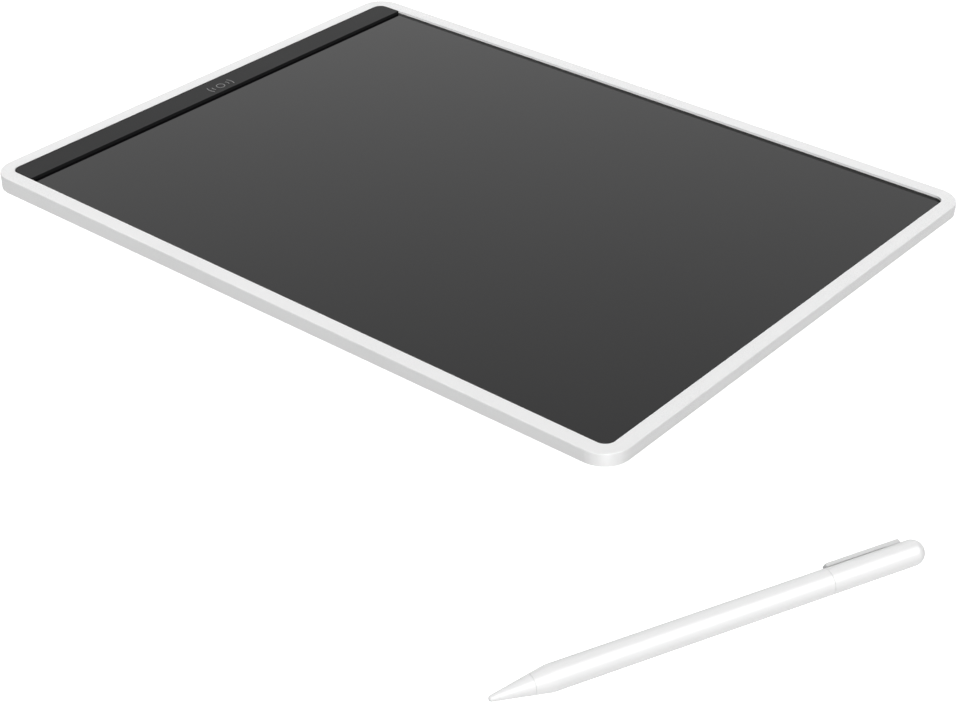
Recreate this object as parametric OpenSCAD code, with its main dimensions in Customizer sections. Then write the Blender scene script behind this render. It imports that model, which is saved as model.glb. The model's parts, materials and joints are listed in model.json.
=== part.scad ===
// LCD writing tablet with its stylus.
// The slate rests on z = 0, with its head, the thicker end, towards +Y.
// The stylus lies on the same surface, in front of the slate.
// Depths below the slate's sloping top are measured in the deck frame, where z = 0 is the rim's top.

/* [Slate] */
// Width of the slate
body_w = 224; // [200:1:260]
// Length of the slate
body_l = 300; // [260:1:360]
// Thickness at the head edge
head_h = 6.5; // [6.3:0.1:9]
// Thickness at the foot edge
foot_h = 4.9; // [4.7:0.1:6.2]
// Radius of the slate's corners, seen from above
corner_r = 10.2; // [8.5:0.1:16]
// Width of the rim along the two long sides
rim_w = 5.95; // [5.4:0.05:8]
// Width of the rim at the head and at the foot
rim_end_w = 5.6; // [5.2:0.05:8]
// Radius of the opening's corners in the rim
open_r = 4; // [2.5:0.1:6]
// Rounding of the rim's outer edge
rim_edge_r = 0.35; // [0.1:0.05:0.8]
// Rounding of the outer edge that rests on the table
foot_edge_r = 0.15; // [0.1:0.05:0.4]
// Rounding of the rim's inner edge
lip_edge_r = 0.1; // [0.05:0.05:0.4]
// Thickness of the lip that covers the screen's margin
lip_t = 1.05; // [0.8:0.05:1.2]
// Thickness of the outer side wall
wall_t = 1.8; // [1.5:0.1:2.1]

/* [Screen] */
// Thickness of the adhesive frame under the lip
gasket_t = 0.15; // [0.1:0.05:0.35]
// Distance that the adhesive stays back from its neighbours' edges
gasket_back = 0.3; // [0.1:0.1:0.8]
// Thickness of the writing screen
lcd_t = 0.8; // [0.6:0.05:0.9]
// Thickness of the stiff plate behind the screen
backing_t = 0.6; // [0.4:0.05:0.8]
// Clearance between the screen's edge and the side wall
screen_gap = 0.3; // [0.2:0.05:0.5]
// Radius of the screen's two head corners
lcd_head_r = 1; // [0.5:0.1:2]

/* [Erase bar] */
// Width of the bar, from the rim to its front face
bar_w = 11.8; // [10:0.05:15]
// Thickness of its top plate
bar_t = 1.2; // [1:0.05:1.4]
// Thickness of its side walls and ribs
bar_wall_t = 0.9; // [0.7:0.05:0.95]
// Clearance between the bar and the rim or the screen
bar_gap = 0.15; // [0.1:0.05:0.3]
// Rounding of the bar's top edges
bar_edge_r = 0.15; // [0.1:0.05:0.4]
// Radius of its two front corners, seen from above
bar_corner_r = 0.5; // [0.5:0.1:2]
// How far its flange reaches under the lip
flange_w = 1.2; // [0.6:0.1:1.6]
// Thickness of the flange
flange_t = 0.6; // [0.4:0.05:0.7]
// Clearance between the flange and the lip
flange_gap = 0.1; // [0.05:0.05:0.2]
// Travel of the bar when pressed
bar_travel = 0.3; // [0.2:0.05:0.4]
// Diameter of the boss that presses the switch
press_boss_d = 5; // [3:0.5:7]
// Number of stiffening ribs inside the bar
bar_ribs = 12; // [4:2:20]

/* [Back cover] */
// Thickness of the cover
cover_t = 1.2; // [1:0.05:1.5]
// Clearance between the cover and the side wall
cover_gap = 0.15; // [0.1:0.05:0.3]
// Thickness of the cover's ribs
rib_t = 1; // [0.6:0.1:1.6]
// Ribs along the slate
ribs_along = 5; // [3:2:9]
// Ribs across the slate
ribs_across = 8; // [4:1:12]
// Distance of the outer ribs from the screen's edge
rib_inset = 4; // [2:0.5:8]
// Snap tabs on each long side
side_tabs = 6; // [2:1:9]
// Snap tabs on the foot side
foot_tabs = 4; // [2:1:7]
// Width of a snap tab
tab_w = 12; // [6:1:20]
// How far a tab stands out of the cover
tab_out = 0.6; // [0.4:0.05:0.8]
// Thickness of a tab
tab_t = 0.7; // [0.5:0.05:0.8]
// Clearance of a tab in its pocket
tab_gap = 0.15; // [0.1:0.05:0.2]

/* [Cover screws] */
// Distance of the outer screws from the side walls
screw_edge = 13; // [8:0.5:30]
// Distance of the inner screws from the middle
screw_inner_x = 40; // [37:1:60]
// Shank diameter of a cover screw or the door screw
screw_d = 1.6; // [1.4:0.1:1.8]
// Head diameter of those screws
screw_head_d = 3.4; // [3:0.1:3.6]
// Height of their countersunk heads
screw_head_h = 0.8; // [0.6:0.05:0.9]
// Depth of the cross in their heads
screw_cross_h = 0.4; // [0.2:0.05:0.5]
// Depth of a head below the outside face
screw_sink = 0.05; // [0.02:0.01:0.1]
// Radial clearance round a screw
screw_gap = 0.15; // [0.1:0.05:0.25]
// How far a cover screw ends below its boss's top
screw_short = 1; // [0.6:0.1:1.4]
// Diameter of a screw boss
boss_d = 3.8; // [3.4:0.1:3.9]
// Free space left under the pressed bar
boss_clear = 0.4; // [0.2:0.1:0.8]

/* [Control board] */
// Length of the board, along the bar
board_l = 66; // [60:1:72]
// Width of the board
board_w = 12; // [11:0.5:13]
// Thickness of the board
board_t = 0.8; // [0.6:0.1:1]
// Radius of the board's corners
board_r = 1; // [0.5:0.1:2]
// Distance of the board from the head wall
board_margin = 2.2; // [1:0.1:3]
// Free space between the pressed bar and the tallest piece on the board
board_clear = 0.2; // [0.1:0.05:0.3]
// Distance between neighbours on the board
part_gap = 1.2; // [0.5:0.1:2]
// Width of the voltage converter, square
converter_w = 3; // [2:0.1:4]
// Height of the voltage converter
converter_h = 0.8; // [0.6:0.05:1]
// Width of the coil, square
coil_w = 4; // [3:0.1:4.5]
// Height of the coil
coil_h = 0.9; // [0.7:0.05:1.1]
// Length of a capacitor
capacitor_l = 1.6; // [1:0.1:2]
// Height of a capacitor
capacitor_h = 0.5; // [0.4:0.05:0.8]
// Number of capacitors
capacitors = 5; // [1:1:5]
// Length of a resistor
resistor_l = 1; // [0.6:0.1:1.6]
// Number of resistors
resistors = 3; // [1:1:3]
// Distance of the board screws from the middle
board_screw_x = 29.5; // [28:0.5:30.5]
// Shank diameter of a board screw
board_screw_d = 1.2; // [1:0.1:1.4]
// Head diameter of a board screw
board_screw_head_d = 2.4; // [2:0.1:2.6]
// Head height of a board screw
board_screw_head_h = 0.5; // [0.3:0.1:0.7]
// Depth that a board screw leaves in the cover's outer skin
board_screw_skin = 0.8; // [0.6:0.1:1]
// Clearance of a board screw in its post
thread_gap = 0.1; // [0.05:0.01:0.15]
// Diameter of the posts under the board
standoff_d = 4; // [3:0.2:5]
// Width of the push switch
tact_w = 4.5; // [3.5:0.1:5]
// Height of the push switch's body
tact_h = 1; // [0.9:0.05:1.2]
// Diameter of the switch's plunger
plunger_d = 2; // [1.4:0.1:2.4]
// Radial clearance of the plunger
plunger_gap = 0.1; // [0.05:0.05:0.2]
// Length of the plunger inside the body at rest
plunger_in = 0.3; // [0.2:0.05:0.35]

/* [Screen lead] */
// Width of the lead
tail_w = 8; // [6:0.5:9]
// Thickness of the lead
tail_t = 0.15; // [0.1:0.05:0.25]
// Length of the lead that is bonded to the screen
tail_bond = 5; // [3:0.5:8]
// Clearance round that end of the lead in the stiff plate
tail_room = 0.5; // [0.2:0.1:0.8]
// Clearance of the lead in its connector
tail_gap = 0.1; // [0.05:0.05:0.2]
// Depth of the connector, along Y
connector_l = 4; // [3:0.5:5]
// Height of the connector
connector_h = 0.9; // [0.8:0.05:1]
// Distance of the connector from the board's front edge
connector_inset = 2.5; // [2:0.1:4]
// Wall of the connector beside the lead
connector_wall = 1; // [0.5:0.1:1.5]

/* [Cell and door] */
// Place of the cell along X
cell_x = -22.5; // [-24:0.5:-21]
// Diameter of the coin cell
cell_d = 20; // [18:0.5:21]
// Thickness of the coin cell
cell_t = 1.6; // [1.2:0.1:1.8]
// Clearance round the cell
cell_gap = 0.4; // [0.2:0.1:0.6]
// Wall of the well that holds the cell
well_t = 1.2; // [0.8:0.1:1.4]
// Clearance between the well and the board
well_clear = 1.4; // [0.8:0.1:2]
// Thickness of the door
door_t = 1; // [0.8:0.05:1.1]
// Clearance round the door
door_gap = 0.15; // [0.1:0.05:0.25]
// Cover ledge that the door seats on, round the cell
ledge_w = 1.6; // [1:0.1:2]
// Thickness of that ledge
ledge_t = 0.8; // [0.6:0.1:0.9]
// Corner radius of the door
door_r = 2.5; // [1:0.5:4]
// Length of the door beyond the cell's hole on the screw side
door_screw_end = 7.5; // [6.5:0.1:9]
// Distance of the door's screw from that end
door_screw_edge = 3.35; // [2.5:0.05:4]
// Length of the door beyond the cell's hole on the tongue side
door_tongue_end = 2.6; // [2.4:0.1:4]
// Thickness of the wall that carries the tongue
tongue_wall = 1.1; // [0.8:0.1:1.2]
// Width of the door's tongue
tongue_w = 10; // [6:1:14]
// How far the tongue reaches behind the cover
tongue_out = 1.5; // [1:0.1:2]
// Thickness of the tongue
tongue_t = 0.6; // [0.5:0.05:0.8]
// Margin of the raised pad round the door's recess
pad_margin = 2; // [1:0.5:3]
// Distance of the cover's ribs from that pad
rib_clear = 1.5; // [0.5:0.5:4]
// Clearance between flat faces that part or slide
seat_gap = 0.1; // [0.05:0.05:0.15]
// Thickness of the cell's contacts
contact_t = 0.2; // [0.15:0.05:0.3]
// Width of the cell's contacts
contact_w = 4; // [3:0.5:4.5]
// Length of the contacts' feet under the board
contact_foot_l = 3.5; // [2:0.5:4]
// Height that the spring contact bends over the cell
contact_rise = 0.3; // [0.1:0.05:0.4]
// Thickness of the solder under the board
solder_t = 0.05; // [0.02:0.01:0.1]

/* [Lock slider] */
// Clearance between the slider at the end of its travel and the board's post
lock_clear = 0.9; // [0.4:0.1:1.5]
// Travel of the slider
lock_travel = 2.5; // [1.5:0.1:3]
// Length of the finger knob
knob_l = 5; // [4:0.5:6]
// Width of the finger knob
knob_w = 3.6; // [3:0.2:4]
// Depth of the knob below the back's face
knob_sink = 0.2; // [0.1:0.05:0.3]
// Clearance of the slider in its slot and guides
lock_gap = 0.15; // [0.1:0.05:0.25]
// Thickness of the slider's plate
slider_t = 0.6; // [0.4:0.05:0.65]
// Margin of the slider's plate round its knob
slider_margin = 1.6; // [1.2:0.1:2]
// Depth of the finger dish round the slot
dish_h = 0.4; // [0.2:0.05:0.5]
// Margin of the finger dish round the slot
dish_margin = 3; // [2:0.5:4]
// Length of the slide switch
lock_switch_l = 7; // [6.5:0.5:7]
// Width of the slide switch
lock_switch_w = 3.6; // [3:0.2:4]
// Height of the slide switch
lock_switch_h = 1.2; // [1:0.05:1.2]
// Size of the switch's lever, square
lever_w = 1; // [0.8:0.1:1.2]

/* [Stylus] */
// Length of the stylus
stylus_l = 141.2; // [120:0.2:170]
// Diameter of the stylus
stylus_d = 7.8; // [7:0.1:10]
// Radius of the nib's tip
tip_r = 0.9; // [0.5:0.05:1.2]
// Length of the nib
nib_l = 12.8; // [10:0.1:18]
// Diameter at the nib's seam
nib_d = 5.94; // [5.6:0.02:6.6]
// Radius that blends the taper into the barrel
shoulder_r = 8; // [5:1:40]
// Length of the cap, from its seam to its end
cap_l = 33; // [30:0.1:40]
// Bore of the barrel
bore_d = 4.8; // [4:0.1:5]
// Clearance of the nib and the cap in that bore
stylus_fit = 0.05; // [0.02:0.01:0.1]
// Width of the two seams
seam_w = 0.1; // [0.05:0.01:0.2]
// Length of the plugs in the bore
plug_l = 8; // [5:0.5:12]
// Length of the clip
clip_l = 25.7; // [20:0.1:26.5]
// Distance of the clip's root from the cap's end
clip_end = 6; // [5:0.1:6.5]
// Width of the clip
clip_w = 2.4; // [2:0.1:4]
// Thickness of the clip
clip_t = 1; // [0.8:0.05:1.6]
// Gap under the clip
clip_gap = 0.1; // [0.1:0.05:0.6]
// Rounding of the clip's edges
clip_edge_r = 0.25; // [0.1:0.05:0.4]
// How far the clip's root end slopes
clip_slope = 0.35; // [0.2:0.05:1]
// Length of the clip's root
clip_root = 5; // [3:0.5:7]
// Depth of the root in the cap
clip_sink = 1; // [0.6:0.1:1.4]
// Place of the nib's tip on the table, along X
stylus_x = -217.6; // [-240:0.1:-190]
// Place of the nib's tip on the table, along Y
stylus_y = -189.2; // [-240:0.1:-185]
// Direction that the stylus points to, from the nib to the cap
stylus_turn = -23.2; // [-40:0.1:0]
// Turn of the clip round the stylus, 0 is level and away from the slate's foot
clip_turn = 28; // [10:1:90]

/* [Hidden] */
$fn = 64;

// How far a cutting tool runs past a face, and a block larger than the slate
over = 1;
beyond = body_w + body_l;

// Slope of the slate's top
tilt = atan((head_h - foot_h) / body_l);
mid_h = (head_h + foot_h) / 2;
function deck_z(y) = mid_h + y * tan(tilt);

// Opening in the rim, and the space inside the side walls
open_w = body_w - 2 * rim_w;
open_l = body_l - 2 * rim_end_w;
open_head = open_l / 2;
inner_w = body_w - 2 * wall_t;
inner_l = body_l - 2 * wall_t;
inner_r = corner_r - wall_t;

// Erase bar
bar_l = open_w - 2 * bar_gap;
bar_front = open_head - bar_w;
bar_back = open_head - bar_gap;
bar_mid = (bar_front + bar_back) / 2;
bar_depth = lip_t + flange_gap + flange_t;
bar_back_r = open_r - bar_gap;
flange_back = open_head + flange_w;
flange_l = open_w + 2 * flange_w;

// Screen and what lies under it
lcd_w = inner_w - 2 * screen_gap;
lcd_foot = -inner_l / 2 + screen_gap;
lcd_head = bar_front - bar_gap;
lcd_l = lcd_head - lcd_foot;
lcd_mid = (lcd_head + lcd_foot) / 2;
lcd_foot_r = inner_r - screen_gap;
lcd_radii = [lcd_head_r, lcd_head_r, lcd_foot_r, lcd_foot_r];
lcd_top = -(lip_t + gasket_t);
lcd_bottom = lcd_top - lcd_t;
backing_bottom = lcd_bottom - backing_t;

// Control board, below the pressed bar, and the switch that the bar's boss presses
board_top = -(bar_depth + bar_travel + board_clear + lock_switch_h);
tact_rise = bar_travel + plunger_gap;
plunger_top = board_top + tact_h + tact_rise;
board_bottom = board_top - board_t;
board_y = inner_l / 2 - board_margin - board_w / 2;
board_front = board_y - board_w / 2;
board_low = deck_z(board_front) + board_bottom;

// Lock slider, between the cover and the board, beside the board's post
lock_y = board_y;
slider_low = cover_t + seat_gap;
slider_top = slider_low + slider_t;
slider_l = knob_l + 2 * slider_margin;
slider_w = knob_w + 2 * slider_margin;
slot_l = knob_l + lock_travel + 2 * lock_gap;
slot_w = knob_w + 2 * lock_gap;
lock_x = board_screw_x - standoff_d / 2 - lock_clear - lock_travel - slider_l / 2;
lock_mid = lock_x + lock_travel / 2;
lever_low = slider_low + slider_t / 2;
lever_room = [lever_w + lock_travel + 2 * lock_gap, lever_w + 2 * lock_gap];

// Screen lead and its connector, beside the slide switch
connector_front = board_front + connector_inset;
connector_w = tail_w + 2 * connector_wall;
tail_x = lock_mid - lock_switch_l / 2 - part_gap - connector_w / 2;
tail_entry = board_top + connector_h / 2 + tail_t / 2;
tail_path = [
    [lcd_head - tail_bond, lcd_bottom], [lcd_head - lcd_t, lcd_bottom],
    [connector_front - 0.6 * connector_inset, tail_entry], [connector_front + connector_l / 2, tail_entry]
];

// Cover
cover_w = inner_w - 2 * cover_gap;
cover_l = inner_l - 2 * cover_gap;
cover_r = inner_r - cover_gap;
screw_outer_x = inner_w / 2 - screw_edge;
screw_x = [-screw_outer_x, -screw_inner_x, screw_inner_x, screw_outer_x];
screw_y = inner_l / 2 - boss_d / 2;
boss_top = deck_z(screw_y) - bar_depth - bar_travel - boss_clear;

// Cell, its well and its door
well_r = cell_d / 2 + cell_gap + well_t;
cell_y = board_front - well_clear - well_r;
cell_low = door_t + seat_gap / 2;
cell_top = cell_low + cell_t;
door_back = cell_d / 2 + cell_gap + door_tongue_end;
door_front = cell_d / 2 + cell_gap + door_screw_end;
door_l = door_back + door_front;
door_x = (door_front - door_back) / 2;
door_w = cell_d + 2 * (cell_gap + ledge_w);
door_screw_x = door_front - door_screw_edge;
door_seat = door_t + seat_gap;
ledge_top = door_seat + ledge_t;
tongue_low = cover_t + seat_gap;
pad_l = door_l + 2 * pad_margin;
pad_w = door_w + 2 * pad_margin;
contact_top = board_low - solder_t;
contact_floor = contact_top - contact_t - seat_gap;
contact_pitch = 0.3 * cell_d;

// Stylus
stylus_r = stylus_d / 2;
nib_r = nib_d / 2;
taper = atan2(nib_r, nib_l - tip_r) - asin(tip_r / norm([nib_r, nib_l - tip_r]));
shoulder_z = nib_l + (stylus_r - shoulder_r * (1 - cos(taper)) - nib_r) / tan(taper);
cap_z = stylus_l - cap_l;
plug_r = bore_d / 2 - stylus_fit;
clip_from = stylus_l - clip_end - clip_l;
clip_to = stylus_l - clip_end;
clip_low = stylus_r + clip_gap;
clip_high = clip_low + clip_t;
clip_rise = clip_high - stylus_r;
root_turn = atan2(clip_rise, clip_slope);
root_y = clip_to - ((clip_rise - clip_edge_r) * cos(root_turn) + clip_edge_r) / sin(root_turn);

function arc(centre, r, from, to, steps = 16) =
    [for (i = [0:steps]) let (a = from + (to - from) * i / steps) centre + r * [cos(a), sin(a)]];

// Shared forms

// Moves what is drawn in the deck frame to its place
module on_deck() translate([0, 0, mid_h]) rotate([tilt, 0, 0]) children();

// All the space below a depth in the deck frame
module below_deck(depth) on_deck() translate([-beyond / 2, -beyond / 2, depth - beyond]) cube(beyond);

// What a round corner leaves over, for a corner at the origin whose material is at -X and -Y
module corner_waste(r) difference() {
    translate([-r, -r]) square(r + over);
    translate([-r, -r]) circle(r);
}

// Rectangle with its own radius at each corner, from +X +Y turning left
module plate_outline(size, radii) difference() {
    square(size, center = true);
    for (i = [0:3]) {
        at = [i == 0 || i == 3 ? 1 : -1, i < 2 ? 1 : -1];
        translate([at.x * size.x / 2, at.y * size.y / 2]) rotate(90 * i) corner_waste(radii[i]);
    }
}

module even_plate(size, r) plate_outline(size, [r, r, r, r]);

// Sweeps an edge profile round such a rectangle; the profile's x = 0 is the outer face
module swept_edge(size, radii) for (i = [0:3]) {
    w = i % 2 == 0 ? size.x : size.y;
    l = i % 2 == 0 ? size.y : size.x;
    r = radii[i];
    next = radii[(i + 3) % 4];
    rotate(90 * i) {
        translate([w / 2 - r, l / 2 - r, 0]) rotate_extrude(angle = 90) translate([r, 0]) children();
        translate([w / 2, l / 2 - r, 0]) rotate([90, 0, 0]) linear_extrude(l - r - next) children();
    }
}

// Strip of metal or film along a path in Y and Z, as wide as w along X
module bent_strip(path, t, w)
    rotate([90, 0, 90]) linear_extrude(w, center = true)
        polygon(concat(path, [for (i = [len(path) - 1:-1:0]) path[i] - [0, t]]));

// Countersunk screw that points up from the outside face
module countersunk_screw(length) difference() {
    union() {
        translate([0, 0, screw_sink])
            cylinder(d1 = screw_head_d, d2 = screw_d, h = screw_head_h);
        cylinder(d = screw_d, h = length);
    }
    translate([0, 0, -over]) cylinder(d = screw_head_d, h = over + screw_sink);
    for (turn = [0, 90]) rotate(turn)
        translate([0, 0, screw_sink]) cube([screw_head_d * 0.55, screw_d / 4, 2 * screw_cross_h], center = true);
}

// Hole for that screw in a plate whose outside face is at z = 0
module countersunk_hole(depth) {
    translate([0, 0, -over]) cylinder(d = screw_d + 2 * screw_gap, h = depth + 2 * over);
    translate([0, 0, screw_sink])
        cylinder(d1 = screw_head_d + 2 * screw_gap, d2 = screw_d + 2 * screw_gap, h = screw_head_h);
    translate([0, 0, -over]) cylinder(d = screw_head_d + 2 * screw_gap, h = over + screw_sink);
}

// Slate

// Sweeps a profile round the slate's outline
module round_slate() swept_edge([body_w, body_l], [corner_r, corner_r, corner_r, corner_r]) children();

// Rim with its lip over the screen's margin
module lip_plate() difference() {
    translate([0, 0, -lip_t]) linear_extrude(lip_t) difference() {
        even_plate([body_w - wall_t, body_l - wall_t], corner_r - wall_t / 2);
        even_plate([open_w, open_l], open_r);
    }
    swept_edge([open_w, open_l], [open_r, open_r, open_r, open_r]) rotate(90) corner_waste(lip_edge_r);
}

// Places a child at each snap tab of the cover, with +X pointing out of the slate
module at_tabs() {
    for (side = [0, 180], i = [0:side_tabs - 1])
        rotate(side) translate([inner_w / 2, ((i + 0.5) / side_tabs - 0.5) * (cover_l - 2 * cover_r)]) children();
    for (i = [0:foot_tabs - 1])
        translate([((i + 0.5) / foot_tabs - 0.5) * (cover_w - 2 * cover_r), -inner_l / 2]) rotate(-90) children();
}

module front_frame() color("#f0f0ef") difference() {
    union() {
        on_deck() {
            lip_plate();
            round_slate() difference() {
                translate([-wall_t, -head_h - over]) square([wall_t, head_h + over]);
                corner_waste(rim_edge_r);
            }
        }
        for (x = screw_x) translate([x, screw_y, cover_t]) {
            cylinder(d = boss_d, h = boss_top - cover_t);
            translate([-boss_d / 2, 0, 0]) cube([boss_d, boss_d / 2 + wall_t / 2, boss_top - cover_t]);
        }
    }
    translate([-beyond / 2, -beyond / 2, -beyond]) cube(beyond);
    round_slate() rotate(-90) corner_waste(foot_edge_r);
    for (x = screw_x) translate([x, screw_y, 0])
        cylinder(d = screw_d + screw_gap, h = boss_top - screw_gap);
    at_tabs() translate([-over, -tab_w / 2 - tab_gap, cover_t - tab_t - tab_gap])
        cube([over + tab_out - cover_gap + tab_gap, tab_w + 2 * tab_gap, tab_t + 2 * tab_gap]);
}

module lcd_outline() translate([0, lcd_mid]) plate_outline([lcd_w, lcd_l], lcd_radii);

module lcd_panel() color("#1b1c1e") on_deck() translate([0, 0, lcd_bottom]) linear_extrude(lcd_t) lcd_outline();

module lcd_gasket() color("#2a2a2a") on_deck() translate([0, 0, lcd_top]) linear_extrude(gasket_t) {
    size = [lcd_w, lcd_l] - 2 * [gasket_back, gasket_back];
    r = lcd_foot_r - gasket_back;
    hole_r = open_r + gasket_back;
    hole_foot = -open_head - gasket_back;
    hole_l = lcd_head + hole_r + over - hole_foot;
    difference() {
        translate([0, lcd_mid]) plate_outline(size, [lcd_head_r, lcd_head_r, r, r]);
        translate([0, hole_foot + hole_l / 2]) even_plate([open_w + 2 * gasket_back, hole_l], hole_r);
    }
}

module lcd_backing() color("#3a3c40") on_deck() translate([0, 0, backing_bottom]) linear_extrude(backing_t)
    difference() {
        lcd_outline();
        translate([tail_x - tail_w / 2 - tail_room, lcd_head - tail_bond - tail_room])
            square([tail_w + 2 * tail_room, tail_bond + over]);
    }

module lcd_tail() color("#c08a3c") on_deck() translate([tail_x, 0, 0]) bent_strip(tail_path, tail_t, tail_w);

// Outline of the bar, moved in by a distance
module bar_inside(size, radii, inset)
    plate_outline(size - 2 * [inset, inset], [for (r = radii) max(r - inset, bar_edge_r)]);

module erase_bar() color("#2b2c2e") on_deck() {
    size = [bar_l, bar_back - bar_front];
    radii = [bar_back_r, bar_back_r, bar_corner_r, bar_corner_r];
    inset = bar_wall_t / 2;
    translate([0, bar_mid, 0]) {
        difference() {
            translate([0, 0, -bar_depth]) linear_extrude(bar_depth) plate_outline(size, radii);
            translate([0, 0, -bar_depth - over]) linear_extrude(bar_depth + over - bar_t)
                bar_inside(size, radii, bar_wall_t);
            swept_edge(size, radii) corner_waste(bar_edge_r);
        }
        for (i = [0:bar_ribs - 1])
            translate([((i + 0.5) / bar_ribs - 0.5) * size.x, 0, -(bar_t / 2 + bar_depth) / 2])
                cube([bar_wall_t, size.y - bar_wall_t, bar_depth - bar_t / 2], center = true);
        translate([0, 0, plunger_top]) cylinder(d = press_boss_d, h = -plunger_top - bar_t / 2);
    }
    reach = flange_back - bar_front - bar_corner_r;
    translate([0, 0, -bar_depth]) linear_extrude(flange_t) difference() {
        translate([0, flange_back - reach / 2])
            plate_outline([flange_l, reach], [open_r + flange_w, open_r + flange_w, flange_w / 2, flange_w / 2]);
        translate([0, bar_mid]) bar_inside(size, radii, inset);
    }
}

module rib_pattern() {
    first = [-lcd_w / 2 + rib_inset, lcd_foot + rib_inset];
    last = [lcd_w / 2 - rib_inset, lcd_head - rib_inset];
    step = [(last.x - first.x) / (ribs_along - 1), (last.y - first.y) / (ribs_across - 1)];
    for (i = [0:ribs_along - 1]) translate([first.x + i * step.x - rib_t / 2, first.y]) square([rib_t, last.y - first.y]);
    for (i = [0:ribs_across - 1]) translate([first.x, first.y + i * step.y - rib_t / 2]) square([last.x - first.x, rib_t]);
}

// Room that the ribs leave for the cell's well and its door
module cell_room() translate([cell_x + door_x, cell_y])
    square([pad_l + 2 * rib_clear, pad_w + 2 * rib_clear], center = true);

module cell_well() translate([cell_x, cell_y, 0]) {
    translate([door_x, 0, cover_t / 2]) linear_extrude(ledge_top - cover_t / 2)
        even_plate([pad_l, pad_w], door_r + pad_margin);
    cylinder(r = well_r, h = cell_low + cell_t * 0.8);
}

module cell_well_cuts() translate([cell_x, cell_y, 0]) {
    translate([door_x, 0, -over]) linear_extrude(door_seat + over)
        even_plate([door_l + 2 * door_gap, door_w + 2 * door_gap], door_r + door_gap);
    translate([0, 0, -over]) cylinder(d = cell_d + 2 * cell_gap, h = cell_top + 2 * over);
    // Way out for the two contacts
    translate([-contact_w / 2 - over, 0, contact_floor])
        cube([contact_pitch + contact_w + 2 * over, pad_w / 2 + over, cell_top]);
    translate([-contact_w / 2 - cell_gap, 0, door_t])
        cube([contact_w + 2 * cell_gap, cell_d / 2 + contact_t + cell_gap, cell_top]);
    // Room for the tongue behind the cover, and for its wall beside the cell
    translate([-door_back - door_gap - tongue_out - over, -tongue_w / 2 - 2 * door_gap, cover_t])
        cube([door_back, tongue_w + 4 * door_gap, cell_top]);
    translate([-door_back - door_gap, -tongue_w / 2 - 2 * door_gap, door_t])
        cube([door_back, tongue_w + 4 * door_gap, cell_top]);
    translate([door_screw_x, 0, 0]) cylinder(d = screw_d + 2 * screw_gap, h = cell_top + over);
}

module slider_guides() translate([lock_mid, lock_y, cover_t / 2]) for (side = [-1, 1])
    translate([0, side * (slider_w / 2 + lock_gap + rib_t / 2), (slider_top - cover_t / 2) / 2])
        cube([slider_l + lock_travel, rib_t, slider_top - cover_t / 2], center = true);

module slider_cuts() translate([lock_mid, lock_y, -over]) {
    linear_extrude(cover_t + 2 * over) even_plate([slot_l, slot_w], lock_gap);
    linear_extrude(dish_h + over) even_plate([slot_l + 2 * dish_margin, slot_w + dish_margin], slot_w / 2);
}

module board_posts() intersection() {
    for (side = [-1, 1]) translate([side * board_screw_x, board_y, cover_t / 2])
        cylinder(d = standoff_d, h = head_h);
    below_deck(board_bottom);
}

module back_cover() color("#ececeb") difference() {
    union() {
        linear_extrude(cover_t) even_plate([cover_w, cover_l], cover_r);
        intersection() {
            translate([0, 0, cover_t / 2]) linear_extrude(head_h) difference() {
                rib_pattern();
                cell_room();
            }
            below_deck(backing_bottom);
        }
        at_tabs() translate([-cover_gap - over, -tab_w / 2, cover_t - tab_t])
            cube([over + tab_out, tab_w, tab_t]);
        cell_well();
        slider_guides();
        board_posts();
    }
    for (x = screw_x) translate([x, screw_y, 0]) countersunk_hole(cover_t);
    for (side = [-1, 1]) translate([side * board_screw_x, board_y, board_screw_skin - thread_gap])
        cylinder(d = board_screw_d + thread_gap, h = head_h);
    cell_well_cuts();
    slider_cuts();
}

module cover_screws() color("#9a9da1") for (x = screw_x) translate([x, screw_y, 0]) countersunk_screw(boss_top - screw_short);

// Electronics under the bar

module control_board() color("#1f5a3c") on_deck() translate([0, 0, board_bottom]) linear_extrude(board_t) difference() {
    translate([0, board_y]) even_plate([board_l, board_w], board_r);
    for (side = [-1, 1]) translate([side * board_screw_x, board_y]) circle(d = board_screw_d + 2 * screw_gap);
    translate([lock_mid, lock_y]) square(lever_room, center = true);
}

// One soldered block, as wide as half its length
module chip(length, height) linear_extrude(height) even_plate([length, length / 2], length / 12);

// Voltage converter, coil, a row of capacitors and a row of resistors, beside the push switch
module board_components() color("#4a4c50") on_deck() translate([-tact_w, board_y, board_top]) {
    converter_x = -5 * part_gap - converter_w / 2;
    coil_x = converter_x - converter_w / 2 - 2 * part_gap - coil_w / 2;
    translate([converter_x, 0, 0]) linear_extrude(converter_h) even_plate([converter_w, converter_w], converter_w / 15);
    translate([coil_x, 0, 0]) linear_extrude(coil_h) even_plate([coil_w, coil_w], coil_w / 6);
    for (i = [0:capacitors - 1]) translate([-(i + 3) * (capacitor_l + part_gap), board_w / 3, 0])
        chip(capacitor_l, capacitor_h);
    for (i = [0:resistors - 1]) translate([-(i + 1) * (resistor_l + part_gap), -0.38 * board_w, 0])
        chip(resistor_l, resistor_l * 0.4);
}

module tail_connector() color("#e8e4d8") on_deck() difference() {
    translate([tail_x - connector_w / 2, connector_front, board_top]) cube([connector_w, connector_l, connector_h]);
    translate([tail_x - tail_w / 2 - tail_gap, connector_front - over, tail_entry - tail_t - tail_gap / 2])
        cube([tail_w + 2 * tail_gap, over + connector_l / 2 + tail_gap, tail_t + tail_gap]);
}

module tact_switch() color("#6b6d70") on_deck() translate([0, bar_mid, board_top]) difference() {
    linear_extrude(tact_h) even_plate([tact_w, tact_w], 0.4 * tact_h);
    translate([0, 0, tact_h / 5]) cylinder(d = plunger_d + 2 * plunger_gap, h = tact_h);
}

module tact_plunger() color("#222222") on_deck() translate([0, bar_mid, plunger_top - tact_rise - plunger_in])
    cylinder(d = plunger_d, h = tact_rise + plunger_in);

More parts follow.
